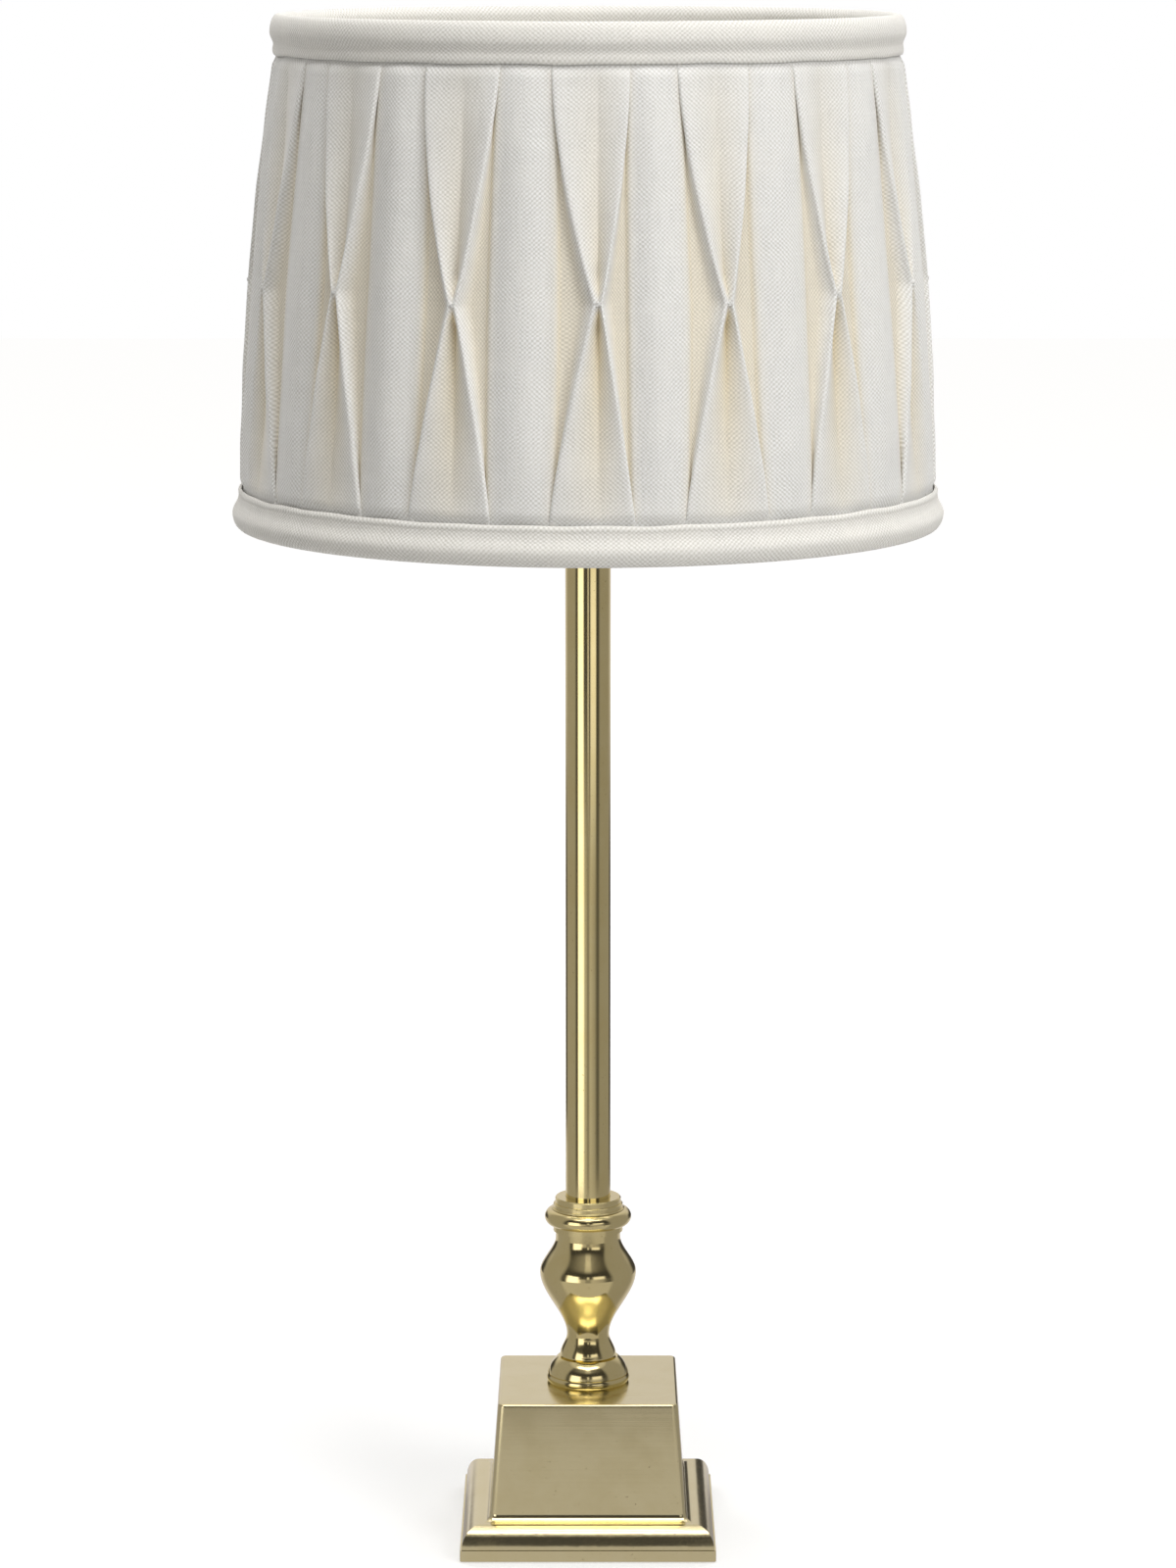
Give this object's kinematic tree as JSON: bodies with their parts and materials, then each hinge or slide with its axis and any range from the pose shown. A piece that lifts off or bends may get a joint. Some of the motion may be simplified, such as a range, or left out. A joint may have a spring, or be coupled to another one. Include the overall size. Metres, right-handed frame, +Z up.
{
  "type": "table lamp",
  "caption": "Brass candlestick table lamp: square stepped foot, tapered plinth, turned baluster and tube, switched lampholder, and a drum shade of pinch-pleated linen.",
  "frame": {"origin": "middle of the felt pad's underside, on the surface that the lamp stands on", "axes": "+Z up along the stem, -Y towards the front of the picture, +Y towards the lead's inlet, +X right"},
  "size_m": [0.3, 0.3, 0.6559],
  "materials": {
    "felt": "pressed wool felt",
    "satin_brass": "satin brushed and lacquered",
    "polished_brass": "polished and lacquered",
    "steel": "zinc plated",
    "iron": "as cast",
    "black_plastic": "moulded, matt",
    "ceramic": "glazed porcelain",
    "holder_brass": "drawn sheet, polished",
    "nickel": "nickel plated",
    "opal_glass": "opal",
    "black_glass": "vitrified",
    "white_wire": "white powder coat",
    "liner": "translucent white styrene sheet",
    "linen": "coarse off-white plain weave"
  },
  "bodies": {
    "lamp": {"felt_pad": "felt", "foot": "satin_brass", "foot_screws": "steel", "plinth": "satin_brass", "cord_bush": "black_plastic", "ballast": "iron", "tie_rod": "steel", "rod_washer": "steel", "rod_nut": "steel", "baluster_foot": "polished_brass", "baluster": "polished_brass", "stem_cup": "polished_brass", "stem_tube": "polished_brass", "stem_cap": "polished_brass", "holder_cap": "holder_brass", "holder_skirt": "holder_brass", "holder_core": "ceramic", "terminal_screws": "nickel", "screw_shell": "nickel", "centre_contact": "nickel", "shade_ring": "holder_brass"},
    "shade": {"fitter_ring": "white_wire", "fitter_arms": "white_wire", "bottom_ring": "white_wire", "top_ring": "white_wire", "shade_liner": "liner", "shade_pleats": "linen", "bottom_band": "linen", "top_band": "linen"},
    "switch": {"switch_bar": "black_plastic"},
    "bulb": {"bulb_contact": "nickel", "bulb_insulator": "black_glass", "bulb_cap": "nickel", "bulb_glass": "opal_glass"}
  },
  "joints": [
    {"name": "shade_swivel", "type": "hinge", "parent": "lamp", "child": "shade", "pos_m": [0, 0, 0.4889], "axis": [0, 0, 1], "continuous": true},
    {"name": "switch_push", "type": "slide", "parent": "lamp", "child": "switch", "axis": [1, 0, 0], "range_m": [0, 0.006]},
    {"name": "bulb_unscrew", "type": "slide", "parent": "lamp", "child": "bulb", "axis": [0, 0, 1], "range_m": [0, 0.03]}
  ]
}
